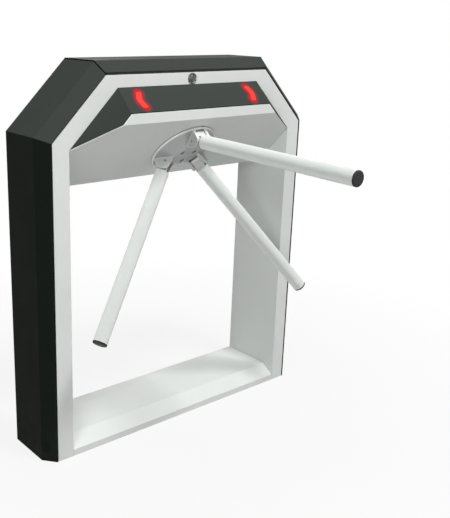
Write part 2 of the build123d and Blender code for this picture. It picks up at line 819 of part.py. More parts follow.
# Bearing housing: a flanged sleeve with a seat for a bearing at each end
with BuildPart() as bearing_housing:
    with BuildSketch(HUB_SECTION):
        with BuildLine():
            Polyline(
                (BEARING_OUTER / 2 - HOUSING_LIP, channel_face),
                (HOUSING_FLANGE / 2, channel_face),
                (HOUSING_FLANGE / 2, housing_face),
                (BEARING_OUTER / 2 + HOUSING_WALL, housing_face),
                (BEARING_OUTER / 2 + HOUSING_WALL, housing_back),
                (BEARING_OUTER / 2 + RUNNING_FIT, housing_back),
                (BEARING_OUTER / 2 + RUNNING_FIT, rear_bearing),
                (BEARING_OUTER / 2 - HOUSING_LIP, rear_bearing),
                (BEARING_OUTER / 2 - HOUSING_LIP, front_bearing - BEARING_WIDTH),
                (BEARING_OUTER / 2 + RUNNING_FIT, front_bearing - BEARING_WIDTH),
                (BEARING_OUTER / 2 + RUNNING_FIT, front_bearing),
                (BEARING_OUTER / 2 - HOUSING_LIP, front_bearing),
                close=True,
            )
        make_face()
    revolve(axis=HUB_AXIS)
    with BuildSketch(HUB.offset(housing_face)):
        with PolarLocations(housing_bolt_circle, 4, start_angle=45):
            Circle(BOLT / 2 + BOLT_FIT)
    extrude(amount=HOUSING_FLANGE_THICKNESS, mode=Mode.SUBTRACT)
write(bearing_housing, "bearing_housing")

# Bearing rings: outer rings with shields on the frame, inner rings on the shaft
bearing_race = (BEARING_OUTER + BEARING_INNER_RING) / 4 + HOUSING_LIP / 2
shield_edge = BEARING_INNER_RING / 2 + BEARING_SHIELD_GAP
with BuildPart() as bearing_outer_rings:
    for level in (front_bearing, rear_bearing):
        with BuildSketch(HUB_SECTION):
            with BuildLine():
                Polyline(
                    (shield_edge, level),
                    (BEARING_OUTER / 2, level),
                    (BEARING_OUTER / 2, level - BEARING_WIDTH),
                    (shield_edge, level - BEARING_WIDTH),
                    (shield_edge, level - BEARING_WIDTH + SHEET / 2),
                    (bearing_race, level - BEARING_WIDTH + SHEET / 2),
                    (bearing_race, level - SHEET / 2),
                    (shield_edge, level - SHEET / 2),
                    close=True,
                )
            make_face()
    revolve(axis=HUB_AXIS)
write(bearing_outer_rings, "bearing_outer_rings")

with BuildPart() as bearing_inner_rings:
    for level in (front_bearing, rear_bearing):
        with BuildSketch(HUB.offset(level)):
            Circle(BEARING_INNER_RING / 2)
            Circle(SHAFT / 2 + RUNNING_FIT, mode=Mode.SUBTRACT)
        extrude(amount=-BEARING_WIDTH)
write(bearing_inner_rings, "bearing_inner_rings")

# Rotor shaft with the flange that carries the hub
shoulder = BEARING_INNER_RING / 2 - SHEET / 2
with BuildPart() as rotor_shaft:
    with BuildSketch(HUB_SECTION):
        with BuildLine():
            Polyline(
                (0, HUB_CLEARANCE),
                (SHAFT_FLANGE / 2, HUB_CLEARANCE),
                (SHAFT_FLANGE / 2, HUB_CLEARANCE - SHAFT_FLANGE_THICKNESS),
                (shoulder, HUB_CLEARANCE - SHAFT_FLANGE_THICKNESS),
                (shoulder, front_bearing),
                (SHAFT / 2, front_bearing),
                (SHAFT / 2, shaft_end),
                (0, shaft_end),
                close=True,
            )
        make_face()
    revolve(axis=HUB_AXIS)
    with BuildSketch(HUB.offset(HUB_CLEARANCE)):
        with PolarLocations(HUB_BOLT_CIRCLE, ARM_COUNT, start_angle=30):
            Circle(BOLT / 2 + BOLT_FIT)
    extrude(amount=-SHAFT_FLANGE_THICKNESS, mode=Mode.SUBTRACT)
write(rotor_shaft, "rotor_shaft")

# Shaft nut behind the main gear
with BuildPart() as shaft_nut:
    with BuildSketch(HUB.offset(nut_front)):
        RegularPolygon(NUT / 2, 6, major_radius=False)
        Circle(SHAFT / 2 + RUNNING_FIT, mode=Mode.SUBTRACT)
    extrude(amount=-NUT_THICKNESS)
write(shaft_nut, "shaft_nut")


# Arm directions: 0 is the arm that points to the front, positive angles turn towards +X
def arm_radial(turn):
    return HUB.y_dir * cos(radians(turn)) + HUB.x_dir * sin(radians(turn))


def arm_across(turn):
    return HUB.x_dir * cos(radians(turn)) - HUB.y_dir * sin(radians(turn))


def ear_plane(turn):
    """The plane through the rotor's axis and an arm: x is the radius, y the height above the underside."""
    return Plane(origin=HUB.origin, x_dir=arm_radial(turn), z_dir=arm_across(turn))


def arm_plane(turn):
    """The plane across an arm at its fork pin: z runs along the arm."""
    pin = HUB.origin + HUB.z_dir * PIN_HEIGHT + arm_radial(turn) * PIN_RADIUS_OUT
    along = HUB.z_dir * cos(radians(ARM_CONE)) + arm_radial(turn) * sin(radians(ARM_CONE))
    return Plane(origin=pin, x_dir=arm_across(turn), z_dir=along)


arm_turns = [360 / ARM_COUNT * count for count in range(ARM_COUNT)]
ear_outside = FORK_GAP / 2 + EAR
hub_top = HUB_CLEARANCE + HUB_RIM

# Hub casting: a flat cone with three pairs of fork ears, pockets and stop seats, and sunk bolt holes
with BuildPart() as hub_casting:
    with BuildSketch(HUB_SECTION):
        with BuildLine():
            Polyline(
                (0, HUB_CLEARANCE),
                (HUB_RADIUS, HUB_CLEARANCE),
                (HUB_RADIUS, hub_top - HUB_EDGE),
                (HUB_RADIUS - HUB_EDGE, hub_top),
                (HUB_RADIUS - HUB_RIM_WIDTH, hub_top),
                (HUB_BOSS_RADIUS, HUB_BOSS_HEIGHT),
                (0, HUB_BOSS_HEIGHT),
                close=True,
            )
        make_face()
    revolve(axis=HUB_AXIS)
    for turn in arm_turns:
        with BuildSketch(ear_plane(turn).offset(-ear_outside)) as ear:
            with BuildLine():
                Polyline(
                    (HUB_BOSS_RADIUS, HUB_CLEARANCE),
                    (EAR_FOOT, HUB_CLEARANCE),
                    (EAR_FOOT, EAR_SHOULDER),
                    (EAR_CROWN, EAR_TOP),
                    (HUB_BOSS_RADIUS, HUB_BOSS_HEIGHT),
                    close=True,
                )
            make_face()
            fillet(ear.vertices().sort_by(Axis.Y)[-2:], EAR_ROUND)
            with Locations((PIN_RADIUS_OUT, PIN_HEIGHT)):
                Circle(PIN / 2 + RUNNING_FIT, mode=Mode.SUBTRACT)
        extrude(amount=EAR)
        extrude(ear.sketch.moved(Location(arm_across(turn) * (FORK_GAP + EAR))), amount=EAR)
        with BuildSketch(ear_plane(turn).offset(-FORK_GAP / 2)):
            with Locations((PIN_RADIUS_OUT, PIN_HEIGHT)):
                Circle(TONGUE_HEIGHT / 2 + POCKET_GAP)
            with Locations((PIN_RADIUS_OUT - POCKET_GAP, PIN_HEIGHT - STOP_DROP - POCKET_GAP)):
                Rectangle(STOP_REACH + POCKET_GAP, STOP_DROP, align=Align.MIN)
        extrude(amount=FORK_GAP, mode=Mode.SUBTRACT)
        with BuildSketch(ear_plane(turn).offset(-ear_outside)):
            with Locations((PIN_RADIUS_OUT, PIN_HEIGHT)):
                Circle(PIN / 2 + RUNNING_FIT)
        extrude(amount=2 * ear_outside, mode=Mode.SUBTRACT)
    with BuildSketch(HUB.offset(HUB_BOSS_HEIGHT)):
        with PolarLocations(HUB_BOLT_CIRCLE, ARM_COUNT, start_angle=30):
            Circle(SOCKET_HEAD / 2 + SOCKET_FIT)
    extrude(amount=-SOCKET_DEPTH, mode=Mode.SUBTRACT)
    with BuildSketch(HUB.offset(HUB_BOSS_HEIGHT)):
        with PolarLocations(HUB_BOLT_CIRCLE, ARM_COUNT, start_angle=30):
            Circle(BOLT / 2 + BOLT_FIT)
    extrude(amount=-HUB_BOSS_HEIGHT, mode=Mode.SUBTRACT)
write(hub_casting, "hub_casting")

# Hub bolts: socket heads sunk in the boss, shanks through the shaft's flange
with BuildPart() as hub_bolts:
    with BuildSketch(HUB.offset(HUB_BOSS_HEIGHT - SOCKET_DEPTH)):
        with PolarLocations(HUB_BOLT_CIRCLE, ARM_COUNT, start_angle=30):
            Circle(SOCKET_HEAD / 2)
    extrude(amount=BOLT)
    with BuildSketch(HUB.offset(HUB_BOSS_HEIGHT - SOCKET_DEPTH)):
        with PolarLocations(HUB_BOLT_CIRCLE, ARM_COUNT, start_angle=30):
            Circle(BOLT / 2)
    extrude(amount=HUB_CLEARANCE - SHAFT_FLANGE_THICKNESS - HUB_BOSS_HEIGHT + SOCKET_DEPTH)
    with BuildSketch(HUB.offset(HUB_BOSS_HEIGHT - SOCKET_DEPTH + BOLT)):
        with PolarLocations(HUB_BOLT_CIRCLE, ARM_COUNT, start_angle=30):
            RegularPolygon(SOCKET_KEY / 2, 6, major_radius=False)
    extrude(amount=-BOLT / 2, mode=Mode.SUBTRACT)
write(hub_bolts, "hub_bolts")

# Fork pins through the ears, sunk a little at both ends
with BuildPart() as fork_pins:
    for turn in arm_turns:
        with BuildSketch(ear_plane(turn).offset(PIN_RECESS - ear_outside)):
            with Locations((PIN_RADIUS_OUT, PIN_HEIGHT)):
                Circle(PIN / 2)
        extrude(amount=2 * (ear_outside - PIN_RECESS))
write(fork_pins, "fork_pins")


# Arms: a knuckle with tongue, pin boss, stop shoulder and spigot, a tube and an end cap
bore = ARM_TUBE / 2 - ARM_WALL
tube_end = ARM_LENGTH - CAP_HEAD


def arm_knuckle(turn):
    across = arm_plane(turn)
    side_on = Plane(origin=across.origin, x_dir=across.z_dir, z_dir=across.x_dir)
    with BuildPart() as piece:
        with BuildSketch(side_on.offset(-TONGUE_WIDTH / 2)):
            Circle(TONGUE_HEIGHT / 2)
            with Locations((ARM_START / 2, -TONGUE_RISE / 2)):
                Rectangle(ARM_START, TONGUE_HEIGHT + TONGUE_RISE)
            Rectangle(STOP_REACH, STOP_DROP, rotation=ARM_CONE - 90, align=(Align.MIN, Align.MAX))
        extrude(amount=TONGUE_WIDTH)
        with BuildSketch(side_on.offset(FORK_PLAY - FORK_GAP / 2)):
            Circle(TONGUE_BOSS / 2)
        extrude(amount=FORK_GAP - 2 * FORK_PLAY)
        with BuildSketch(side_on.offset(-FORK_GAP / 2)):
            Circle(PIN / 2 + RUNNING_FIT)
        extrude(amount=FORK_GAP, mode=Mode.SUBTRACT)
        with BuildSketch(across.offset(ARM_START)):
            Circle(bore - SLIP_FIT)
        extrude(amount=SPIGOT)
    return piece


def arm_tube(turn):
    with BuildPart() as piece:
        with BuildSketch(arm_plane(turn).offset(ARM_START)):
            Circle(ARM_TUBE / 2)
            Circle(bore, mode=Mode.SUBTRACT)
        extrude(amount=tube_end - ARM_START)
    return piece


def arm_cap(turn):
    with BuildPart() as piece:
        with BuildSketch(arm_plane(turn).offset(tube_end - CAP_PLUG)):
            Circle(bore - SLIP_FIT)
        extrude(amount=CAP_PLUG)
        with BuildSketch(arm_plane(turn).offset(tube_end)):
            Circle(ARM_TUBE / 2)
        extrude(amount=CAP_HEAD)
        fillet(piece.faces().sort_by(Axis(HUB.origin, arm_plane(turn).z_dir))[-1].edges(), CAP_HEAD / 2)
    return piece


for name, turn in (("front", 0), ("left", -360 / ARM_COUNT), ("right", 360 / ARM_COUNT)):
    write(arm_knuckle(turn), f"arm_knuckle_{name}")
    write(arm_tube(turn), f"arm_tube_{name}")
    write(arm_cap(turn), f"arm_cap_{name}")

# Key lock on the top strip: body with rosette, turning plug with a keyway, and a cam behind
with BuildPart() as lock_body:
    with BuildSketch(RING_PLANE.offset(SHEET)):
        with Locations((0, lock_z)):
            Circle(LOCK_FACE / 2)
    extrude(amount=LOCK_FACE_THICKNESS)
    chamfer(lock_body.faces().sort_by(Axis.Y)[0].edges(), LOCK_FACE_THICKNESS / 2)
    with BuildSketch(RING_PLANE.offset(SHEET)):
        with Locations((0, lock_z)):
            Circle(LOCK_BARREL / 2)
    extrude(amount=-LOCK_LENGTH)
    with BuildSketch(RING_PLANE.offset(SHEET + LOCK_FACE_THICKNESS)):
        with Locations((0, lock_z)):
            Circle(LOCK_PLUG / 2 + RUNNING_FIT)
    extrude(amount=-LOCK_FACE_THICKNESS - LOCK_LENGTH, mode=Mode.SUBTRACT)
write(lock_body, "lock_body")

with BuildPart() as lock_plug:
    with BuildSketch(RING_PLANE.offset(SHEET + LOCK_FACE_THICKNESS)):
        with Locations((0, lock_z)):
            Circle(LOCK_PLUG / 2)
    extrude(amount=-LOCK_FACE_THICKNESS - LOCK_LENGTH)
    with BuildSketch(RING_PLANE.offset(SHEET + LOCK_FACE_THICKNESS)):
        with Locations((0, lock_z)):
            Rectangle(SHEET, LOCK_PLUG * 0.7)
    extrude(amount=-LOCK_LENGTH / 2, mode=Mode.SUBTRACT)
write(lock_plug, "lock_plug")

with BuildPart() as lock_cam:
    with BuildSketch(RING_PLANE.offset(SHEET - LOCK_LENGTH)):
        with Locations((0, lock_z)):
            Circle(LOCK_PLUG / 2)
        with Locations((0, lock_z + LOCK_CAM_LENGTH / 2)):
            Rectangle(LOCK_CAM_WIDTH, LOCK_CAM_LENGTH)
    extrude(amount=-LOCK_CAM_THICKNESS)
write(lock_cam, "lock_cam")

# Lid keeper: a strap below the lid whose foot passes under the locked cam
keeper_y = crease + SHEET
keeper_low = lock_z - LOCK_CAM_WIDTH / 2 - KEEPER_GAP
with BuildPart() as lid_keeper:
    with BuildSketch(Plane.YZ.offset(KEEPER_SIDE)):
        with BuildLine():
            Polyline(
                (keeper_y + KEEPER_FLANGE, HEIGHT - SHEET),
                (keeper_y, HEIGHT - SHEET),
                (keeper_y, keeper_low),
                (front + LOCK_LENGTH, keeper_low),
                (front + LOCK_LENGTH, keeper_low - KEEPER_SHEET),
                (keeper_y + KEEPER_SHEET, keeper_low - KEEPER_SHEET),
                (keeper_y + KEEPER_SHEET, HEIGHT - SHEET - KEEPER_SHEET),
                (keeper_y + KEEPER_FLANGE, HEIGHT - SHEET - KEEPER_SHEET),
                close=True,
            )
        make_face()
    extrude(amount=KEEPER_WIDTH)
write(lid_keeper, "lid_keeper")


# Gears: straight involute teeth, thinned by the backlash
pinion_distance = GEAR_MODULE * (MAIN_TEETH + PINION_TEETH) / 2


def gear_points(teeth, first):
    """Outline of a gear whose first tooth points at the angle first, as (x, y) points."""
    pitch_radius = GEAR_MODULE * teeth / 2
    base_radius = pitch_radius * cos(radians(PRESSURE_ANGLE))
    root_radius = pitch_radius - 1.25 * GEAR_MODULE
    tip_radius = pitch_radius + GEAR_MODULE
    start = max(base_radius, root_radius)
    roll = tan(radians(PRESSURE_ANGLE)) - radians(PRESSURE_ANGLE)
    flank = []
    for step in range(4):
        radius = start + (tip_radius - start) * step / 3
        lean = acos(base_radius / radius)
        half = pi / (2 * teeth) - GEAR_BACKLASH / 2 / pitch_radius + roll - tan(lean) + lean
        flank.append((radius, half))
    if start > root_radius:
        flank.insert(0, (root_radius, flank[0][1]))
    points = []
    for tooth in range(teeth):
        middle = radians(first) + 2 * pi * tooth / teeth
        for radius, half in flank:
            points.append((radius * cos(middle - half), radius * sin(middle - half)))
        for radius, half in reversed(flank):
            points.append((radius * cos(middle + half), radius * sin(middle + half)))
    return points


with BuildPart() as main_gear:
    with BuildSketch(HUB.offset(gear_front)):
        with BuildLine():
            Polyline(*gear_points(MAIN_TEETH, 90), close=True)
        make_face()
        Circle(SHAFT / 2 + RUNNING_FIT, mode=Mode.SUBTRACT)
    extrude(amount=-GEAR_WIDTH)
write(main_gear, "main_gear")


def pinion(side, reach):
    """A pinion with its shaft, below the main gear for side -1 and above it for side 1."""
    middle = Plane(
        origin=HUB.from_local_coords(Vector(0, side * pinion_distance, 0)),
        x_dir=HUB.x_dir,
        z_dir=HUB.z_dir,
    )
    with BuildPart() as piece:
        with BuildSketch(middle.offset(gear_front)):
            with BuildLine():
                Polyline(*gear_points(PINION_TEETH, side * 90 + 180 / PINION_TEETH), close=True)
            make_face()
        extrude(amount=-GEAR_WIDTH)
        with BuildSketch(middle.offset(gear_front)):
            Circle(PINION_SHAFT / 2)
        extrude(amount=reach)
    return piece


motor_reach = housing_back - gear_front + MOTOR_LENGTH / 3
drive_pinion = pinion(-1, motor_reach)
write(drive_pinion, "drive_pinion")
damper_reach = plate_back - gear_front - SHEET
damper_pinion = pinion(1, damper_reach)
write(damper_pinion, "damper_pinion")

# Drive motor on the front of the gear plate, its shaft bore on the pinion's axis
with BuildPart() as drive_motor:
    with BuildSketch(HUB.offset(housing_back)):
        with Locations((0, -pinion_distance)):
            Circle(MOTOR / 2)
    extrude(amount=MOTOR_LENGTH)
    with BuildSketch(HUB.offset(housing_back)):
        with Locations((0, -pinion_distance)):
            Circle(PINION_SHAFT / 2 + RUNNING_FIT)
    extrude(amount=MOTOR_LENGTH / 3 + SHEET, mode=Mode.SUBTRACT)
write(drive_motor, "drive_motor")

# Rotary damper on the back of the gear plate
with BuildPart() as damper_body:
    with BuildSketch(HUB.offset(plate_back)):
        with Locations((0, pinion_distance)):
            Circle(DAMPER_BODY / 2)
            Circle(PINION_SHAFT / 2 + RUNNING_FIT, mode=Mode.SUBTRACT)
    extrude(amount=-DAMPER_HEIGHT)
write(damper_body, "damper_body")

# Gear plate on four pillars behind the header channel
with BuildPart() as gear_plate:
    with BuildSketch(HUB.offset(housing_back)):
        Rectangle(GEAR_PLATE_LENGTH, GEAR_PLATE_WIDTH)
        Circle(BEARING_INNER_RING / 2 + SHEET, mode=Mode.SUBTRACT)
        with Locations((0, -pinion_distance)):
            Circle(PINION_SHAFT / 2 + EDGE_GAP, mode=Mode.SUBTRACT)
    extrude(amount=-GEAR_PLATE_THICKNESS)
write(gear_plate, "gear_plate")

with BuildPart() as plate_pillars:
    with BuildSketch(HUB.offset(channel_face)):
        with GridLocations(2 * pillar_x, 2 * pillar_y, 2, 2):
            Circle(PILLAR / 2)
    extrude(amount=-HOUSING_LENGTH)
write(plate_pillars, "plate_pillars")

# Index disc with a notch for each half step, held between the rear bearing and the main gear by its bosses
with BuildPart() as index_disc:
    with BuildSketch(HUB.offset(index_front)):
        Circle(INDEX_DISC / 2)
        with PolarLocations(INDEX_DISC / 2, NOTCH_COUNT, start_angle=PAWL_ANGLE):
            Rectangle(2 * NOTCH_DEPTH, NOTCH_WIDTH, mode=Mode.SUBTRACT)
    extrude(amount=-INDEX_THICKNESS)
    with BuildSketch(HUB.offset(housing_back)):
        Circle(shoulder)
    extrude(amount=gear_front - housing_back)
    with BuildSketch(HUB.offset(housing_back)):
        Circle(SHAFT / 2 + RUNNING_FIT)
    extrude(amount=gear_front - housing_back, mode=Mode.SUBTRACT)
write(index_disc, "index_disc")

# Position sensor that looks at the disc's rim
with BuildPart() as position_sensor:
    with BuildSketch(HUB.offset(plate_back)):
        with PolarLocations(INDEX_DISC / 2 + SENSOR_GAP + SENSOR / 2, 1, start_angle=-2 * PAWL_ANGLE):
            Rectangle(SENSOR, SENSOR)
    extrude(amount=index_front - plate_back - INDEX_THICKNESS + EDGE_GAP)
write(position_sensor, "position_sensor")

# Pawls: levers that swing their noses into the notches; the left one is the right one's mirror image
PAWL = Plane(
    origin=HUB.origin,
    x_dir=HUB.x_dir * cos(radians(PAWL_ANGLE)) + HUB.y_dir * sin(radians(PAWL_ANGLE)),
    z_dir=HUB.z_dir,
)
nose_tip = INDEX_DISC / 2 + PAWL_CLEARANCE
pawl_radius = nose_tip + PAWL_SHANK
pawl_end = PAWL_LEVER + PAWL_TAIL
plunger_level = index_back - PLUNGER_RISE

with BuildPart() as pawl_right:
    with BuildSketch(PAWL.offset(index_front)):
        with Locations(((nose_tip + pawl_radius) / 2, 0)):
            Rectangle(pawl_radius - nose_tip, PAWL_NOSE)
        with Locations((pawl_radius + PAWL_BAR / 4, (PAWL_NOSE / 2 - pawl_end) / 2)):
            Rectangle(PAWL_BAR, pawl_end + PAWL_NOSE / 2)
        with Locations((pawl_radius, -PAWL_LEVER)):
            Circle(PAWL_PIN)
            Circle(PAWL_PIN / 2 + RUNNING_FIT, mode=Mode.SUBTRACT)
        with Locations((pawl_radius, -pawl_end)):
            Circle(TAIL_PIN)
    extrude(amount=-INDEX_THICKNESS)
    with BuildSketch(PAWL.offset(index_back)):
        with Locations((pawl_radius, -pawl_end)):
            Circle(TAIL_PIN / 2)
    extrude(amount=-TAIL_PIN_LENGTH)
write(pawl_right, "pawl_right")

with BuildPart() as pawl_left:
    mirror(pawl_right.part, about=Plane.YZ)
write(pawl_left, "pawl_left")

# Plungers: rods along the pawl's radius with an eye round the tail pin
solenoid_start = pawl_radius + SOLENOID_REACH
with BuildPart() as plunger_right:
    with BuildSketch(PAWL.offset(plunger_level - PLUNGER_EYE_THICKNESS / 2)):
        with Locations((pawl_radius, -pawl_end)):
            Rectangle(PLUNGER_EYE, PLUNGER_EYE)
            Rectangle(TAIL_PIN + 2 * EYE_PLAY, EYE_SLOT, mode=Mode.SUBTRACT)
    extrude(amount=PLUNGER_EYE_THICKNESS)
    rod_start = PAWL.from_local_coords(
        Vector(pawl_radius + PLUNGER_EYE / 2, -pawl_end, plunger_level)
    )
    with BuildSketch(Plane(origin=rod_start, z_dir=PAWL.x_dir)):
        Circle(PLUNGER / 2)
    extrude(amount=SOLENOID_REACH - PLUNGER_EYE / 2 + SOLENOID_LENGTH / 2)
write(plunger_right, "plunger_right")

with BuildPart() as plunger_left:
    mirror(plunger_right.part, about=Plane.YZ)
write(plunger_left, "plunger_left")

# Solenoid bodies on the gear plate, bored for the plungers
with BuildPart() as solenoid_right:
    with BuildSketch(PAWL.offset(plate_back)):
        with Locations((solenoid_start + SOLENOID_LENGTH / 2, -pawl_end)):
            Rectangle(SOLENOID_LENGTH, SOLENOID_SIDE)
    extrude(amount=plunger_level - SOLENOID_SIDE / 2 - plate_back)
    bore_start = PAWL.from_local_coords(Vector(solenoid_start, -pawl_end, plunger_level))
    with BuildSketch(Plane(origin=bore_start, z_dir=PAWL.x_dir)):
        Circle(PLUNGER / 2 + RUNNING_FIT)
    extrude(amount=SOLENOID_LENGTH, mode=Mode.SUBTRACT)

with BuildPart() as solenoid_bodies:
    add(solenoid_right.part)
    mirror(solenoid_right.part, about=Plane.YZ)
write(solenoid_bodies, "solenoid_bodies")

# Pawl pins on the gear plate, with heads that keep the pawls on
with BuildPart() as pawl_pins:
    for side in (-1, 1):
        foot = PAWL.from_local_coords(Vector(pawl_radius, -PAWL_LEVER, plate_back))
        pin_plane = Plane(origin=(side * foot.X, foot.Y, foot.Z), z_dir=-HUB.z_dir)
        with BuildSketch(pin_plane):
            Circle(PAWL_PIN / 2)
        extrude(amount=LAYER_GAP + INDEX_THICKNESS + EDGE_GAP)
        with BuildSketch(pin_plane.offset(LAYER_GAP + INDEX_THICKNESS + EDGE_GAP)):
            Circle(PAWL_PIN_HEAD / 2)
        extrude(amount=SHEET)
write(pawl_pins, "pawl_pins")
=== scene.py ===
import json
import math
import bpy
import bmesh
from mathutils import Matrix, Vector


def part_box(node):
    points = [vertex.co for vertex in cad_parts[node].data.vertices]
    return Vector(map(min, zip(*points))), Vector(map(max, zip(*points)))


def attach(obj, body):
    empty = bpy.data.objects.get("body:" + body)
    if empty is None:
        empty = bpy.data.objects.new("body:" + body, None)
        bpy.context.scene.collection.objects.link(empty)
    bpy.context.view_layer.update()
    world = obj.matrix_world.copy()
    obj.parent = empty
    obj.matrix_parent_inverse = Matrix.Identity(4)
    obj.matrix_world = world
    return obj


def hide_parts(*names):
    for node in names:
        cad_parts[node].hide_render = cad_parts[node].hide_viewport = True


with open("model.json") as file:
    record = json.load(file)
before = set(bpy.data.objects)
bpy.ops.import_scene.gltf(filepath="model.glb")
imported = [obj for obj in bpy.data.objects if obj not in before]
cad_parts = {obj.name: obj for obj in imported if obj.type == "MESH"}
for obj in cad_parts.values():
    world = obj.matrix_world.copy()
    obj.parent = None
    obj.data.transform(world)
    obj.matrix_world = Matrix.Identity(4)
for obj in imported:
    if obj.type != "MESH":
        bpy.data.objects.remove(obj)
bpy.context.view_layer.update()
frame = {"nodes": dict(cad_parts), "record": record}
nodes = frame["nodes"]
joints = {joint["name"]: joint for joint in frame["record"]["behaviour"]["joints"]}
scene = bpy.context.scene
scene.view_settings.view_transform = "Standard"

UP = Vector((0, 0, 1))
FRONT = Vector((0, -1, 0))
BACK = Vector((0, 1, 0))

# Camera: the photograph and its focal length in pixels, the place in metres and the turn in degrees
IMAGE_WIDTH = 450
IMAGE_HEIGHT = 518
FOCAL_LENGTH = 768.7
OPTICAL_CENTRE_X = 160.5
OPTICAL_CENTRE_Y = 241.8
CAMERA_PLACE = (-1.3677, -1.6694, 1.1432)
CAMERA_YAW = 39.0
CAMERA_PITCH = -16.2
CAMERA_ROLL = 1.1
SENSOR_HEIGHT = 36.0
VIEW_DEPTH = 50.0


def add_camera():
    """The camera where the photograph was taken, shifted because its optical centre is off the middle."""
    data = bpy.data.cameras.new("camera")
    data.sensor_fit = "VERTICAL"
    data.sensor_height = SENSOR_HEIGHT
    data.lens = FOCAL_LENGTH / IMAGE_HEIGHT * SENSOR_HEIGHT
    data.shift_x = (IMAGE_WIDTH / 2 - OPTICAL_CENTRE_X) / IMAGE_HEIGHT
    data.shift_y = (OPTICAL_CENTRE_Y - IMAGE_HEIGHT / 2) / IMAGE_HEIGHT
    data.clip_end = VIEW_DEPTH
    camera = bpy.data.objects.new("camera", data)
    scene.collection.objects.link(camera)
    yaw, pitch, roll = (math.radians(angle) for angle in (CAMERA_YAW, CAMERA_PITCH, CAMERA_ROLL))
    level = math.cos(pitch)
    forward = Vector((math.sin(yaw) * level, math.cos(yaw) * level, math.sin(pitch)))
    right = Vector((math.cos(yaw), -math.sin(yaw), 0))
    above = right.cross(forward)
    rolled_right = right * math.cos(roll) + above * math.sin(roll)
    rolled_above = above * math.cos(roll) - right * math.sin(roll)
    turn = Matrix((rolled_right, rolled_above, -forward)).transposed()
    camera.matrix_world = Matrix.Translation(CAMERA_PLACE) @ turn.to_4x4()
    scene.camera = camera


add_camera()

# Colours, as linear red, green and blue
LIGHT = (0.745, 0.77, 0.747)
DARK = (0.0112, 0.0145, 0.0117)
# painted sheen: the lighter colour that dark paint takes where it looks up, a painted reflection of overhead
# light
PAINTED_SHEEN = (0.0475, 0.0535, 0.0485)
DIRT = (0.42, 0.40, 0.36)
PRIMER = (0.12, 0.125, 0.13)
ZINC = (0.34, 0.345, 0.335)
TURNED_STEEL = (0.56, 0.56, 0.56)
CHROME = (0.17, 0.17, 0.18)
BRASS = (0.72, 0.55, 0.25)
CAST_ALLOY = (0.45, 0.465, 0.455)
# painted highlight: the lighter alloy colour on hub faces that look across the rotor's axis and outward
HIGHLIGHT_ALLOY = (0.72, 0.735, 0.725)
# painted highlight: the lighter alloy colour along the hub's edges
EDGE_HIGHLIGHT_ALLOY = (0.92, 0.93, 0.92)
NYLON = (0.022, 0.023, 0.022)
MOULDED_CASE = (0.03, 0.03, 0.033)
SEAL_RUBBER = (0.012, 0.012, 0.012)
BOARD_LACQUER = (0.02, 0.16, 0.06)
BOARD_SHADE = (0.015, 0.12, 0.05)
BOARD_TRACK = (0.10, 0.30, 0.12)
LENS_DEEP = (0.30, 0.008, 0.008)
LENS_PALE = (0.36, 0.012, 0.012)
GLOW_DEEP = (1.0, 0.03, 0.028)
GLOW_PALE = (1.0, 0.05, 0.046)
SPREAD_GLOW = (1.0, 0.012, 0.012)
SPREAD_COAT = (0.03, 0.002, 0.002)
FLOOR_DEEP = (0.52, 0.52, 0.52)
FLOOR_PALE = (0.56, 0.56, 0.56)
SKY = (0.95, 0.97, 1.0)
WHITE = (1.0, 1.0, 1.0)

# Sizes on the surfaces, in metres: radii of edges, and how high dirt reaches
SHEET_EDGE = 0.0012
COVER_EDGE = 0.003
METAL_EDGE = 0.0006
CAST_EDGE = 0.0016
PLASTIC_EDGE = 0.0008
LENS_EDGE = 0.0004
BOARD_EDGE = 0.0003
# width of the painted highlight along metal edges
EDGE_HIGHLIGHT_WIDTH = 0.0025
DIRT_HEIGHT = 0.16


